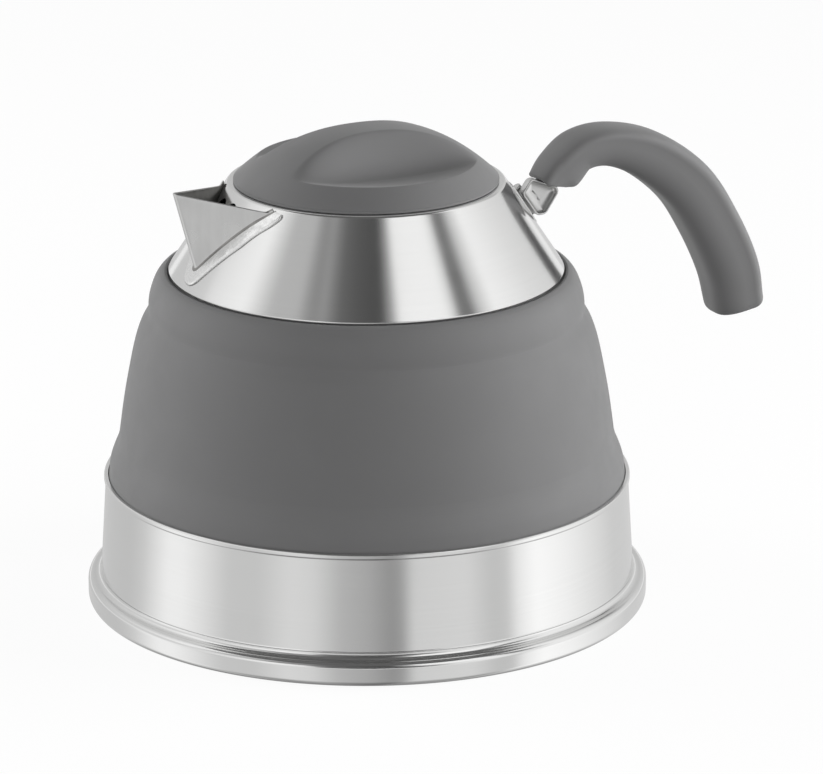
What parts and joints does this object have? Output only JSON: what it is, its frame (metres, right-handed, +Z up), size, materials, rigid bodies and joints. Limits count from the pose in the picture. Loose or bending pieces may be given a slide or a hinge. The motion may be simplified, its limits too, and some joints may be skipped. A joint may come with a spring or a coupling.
{
  "type": "collapsible kettle",
  "caption": "Camping kettle with a steel heat base, a folding grey silicone body, a conical steel shoulder with a sheet spout, an arched side handle and a lift-off lid.",
  "frame": {"origin": "middle of the flat underside of the heat base", "axes": "+Z up through the lid; +X towards the handle and -X towards the spout"},
  "size_m": [0.2335, 0.1812, 0.1556],
  "materials": {
    "polished_steel": "polished stainless steel",
    "satin_steel": "satin stainless steel",
    "inner_steel": "plain stainless steel",
    "aluminium": "plain aluminium",
    "grey_silicone": "matt grey silicone",
    "grey_moulding": "matt grey moulding",
    "core_nylon": "plain dark nylon",
    "seal_silicone": "pale silicone"
  },
  "bodies": {
    "base": {"base_capsule": "polished_steel", "heat_core": "aluminium", "base_pan": "polished_steel", "lower_clamp_ring": "inner_steel", "silicone_body": "grey_silicone"},
    "upper": {"upper_clamp_ring": "inner_steel", "shoulder_cone": "polished_steel", "spout": "satin_steel", "handle_plate": "satin_steel", "hinge_pin": "satin_steel"},
    "handle": {"handle_bracket": "satin_steel", "handle_core": "core_nylon", "core_rivet_near": "satin_steel", "core_rivet_far": "satin_steel", "handle_grip": "grey_moulding"},
    "lid": {"lid_cap": "grey_moulding", "lid_plug": "inner_steel", "lid_seal": "seal_silicone", "lid_washer": "satin_steel", "lid_screw": "satin_steel"}
  },
  "joints": [
    {"name": "collapse", "type": "slide", "parent": "base", "child": "upper", "axis": [0, 0, -1], "range_m": [0, 0.05], "deforming": ["silicone_body"]},
    {"name": "lid_lift", "type": "slide", "parent": "upper", "child": "lid", "axis": [0, 0, 1], "range_m": [0, 0.04]},
    {"name": "handle_fold", "type": "hinge", "parent": "upper", "child": "handle", "pos_m": [0.05775, 0.0019, 0.12407], "axis": [-0.5698, 0, 0.8218], "range_deg": [0, 80]}
  ]
}
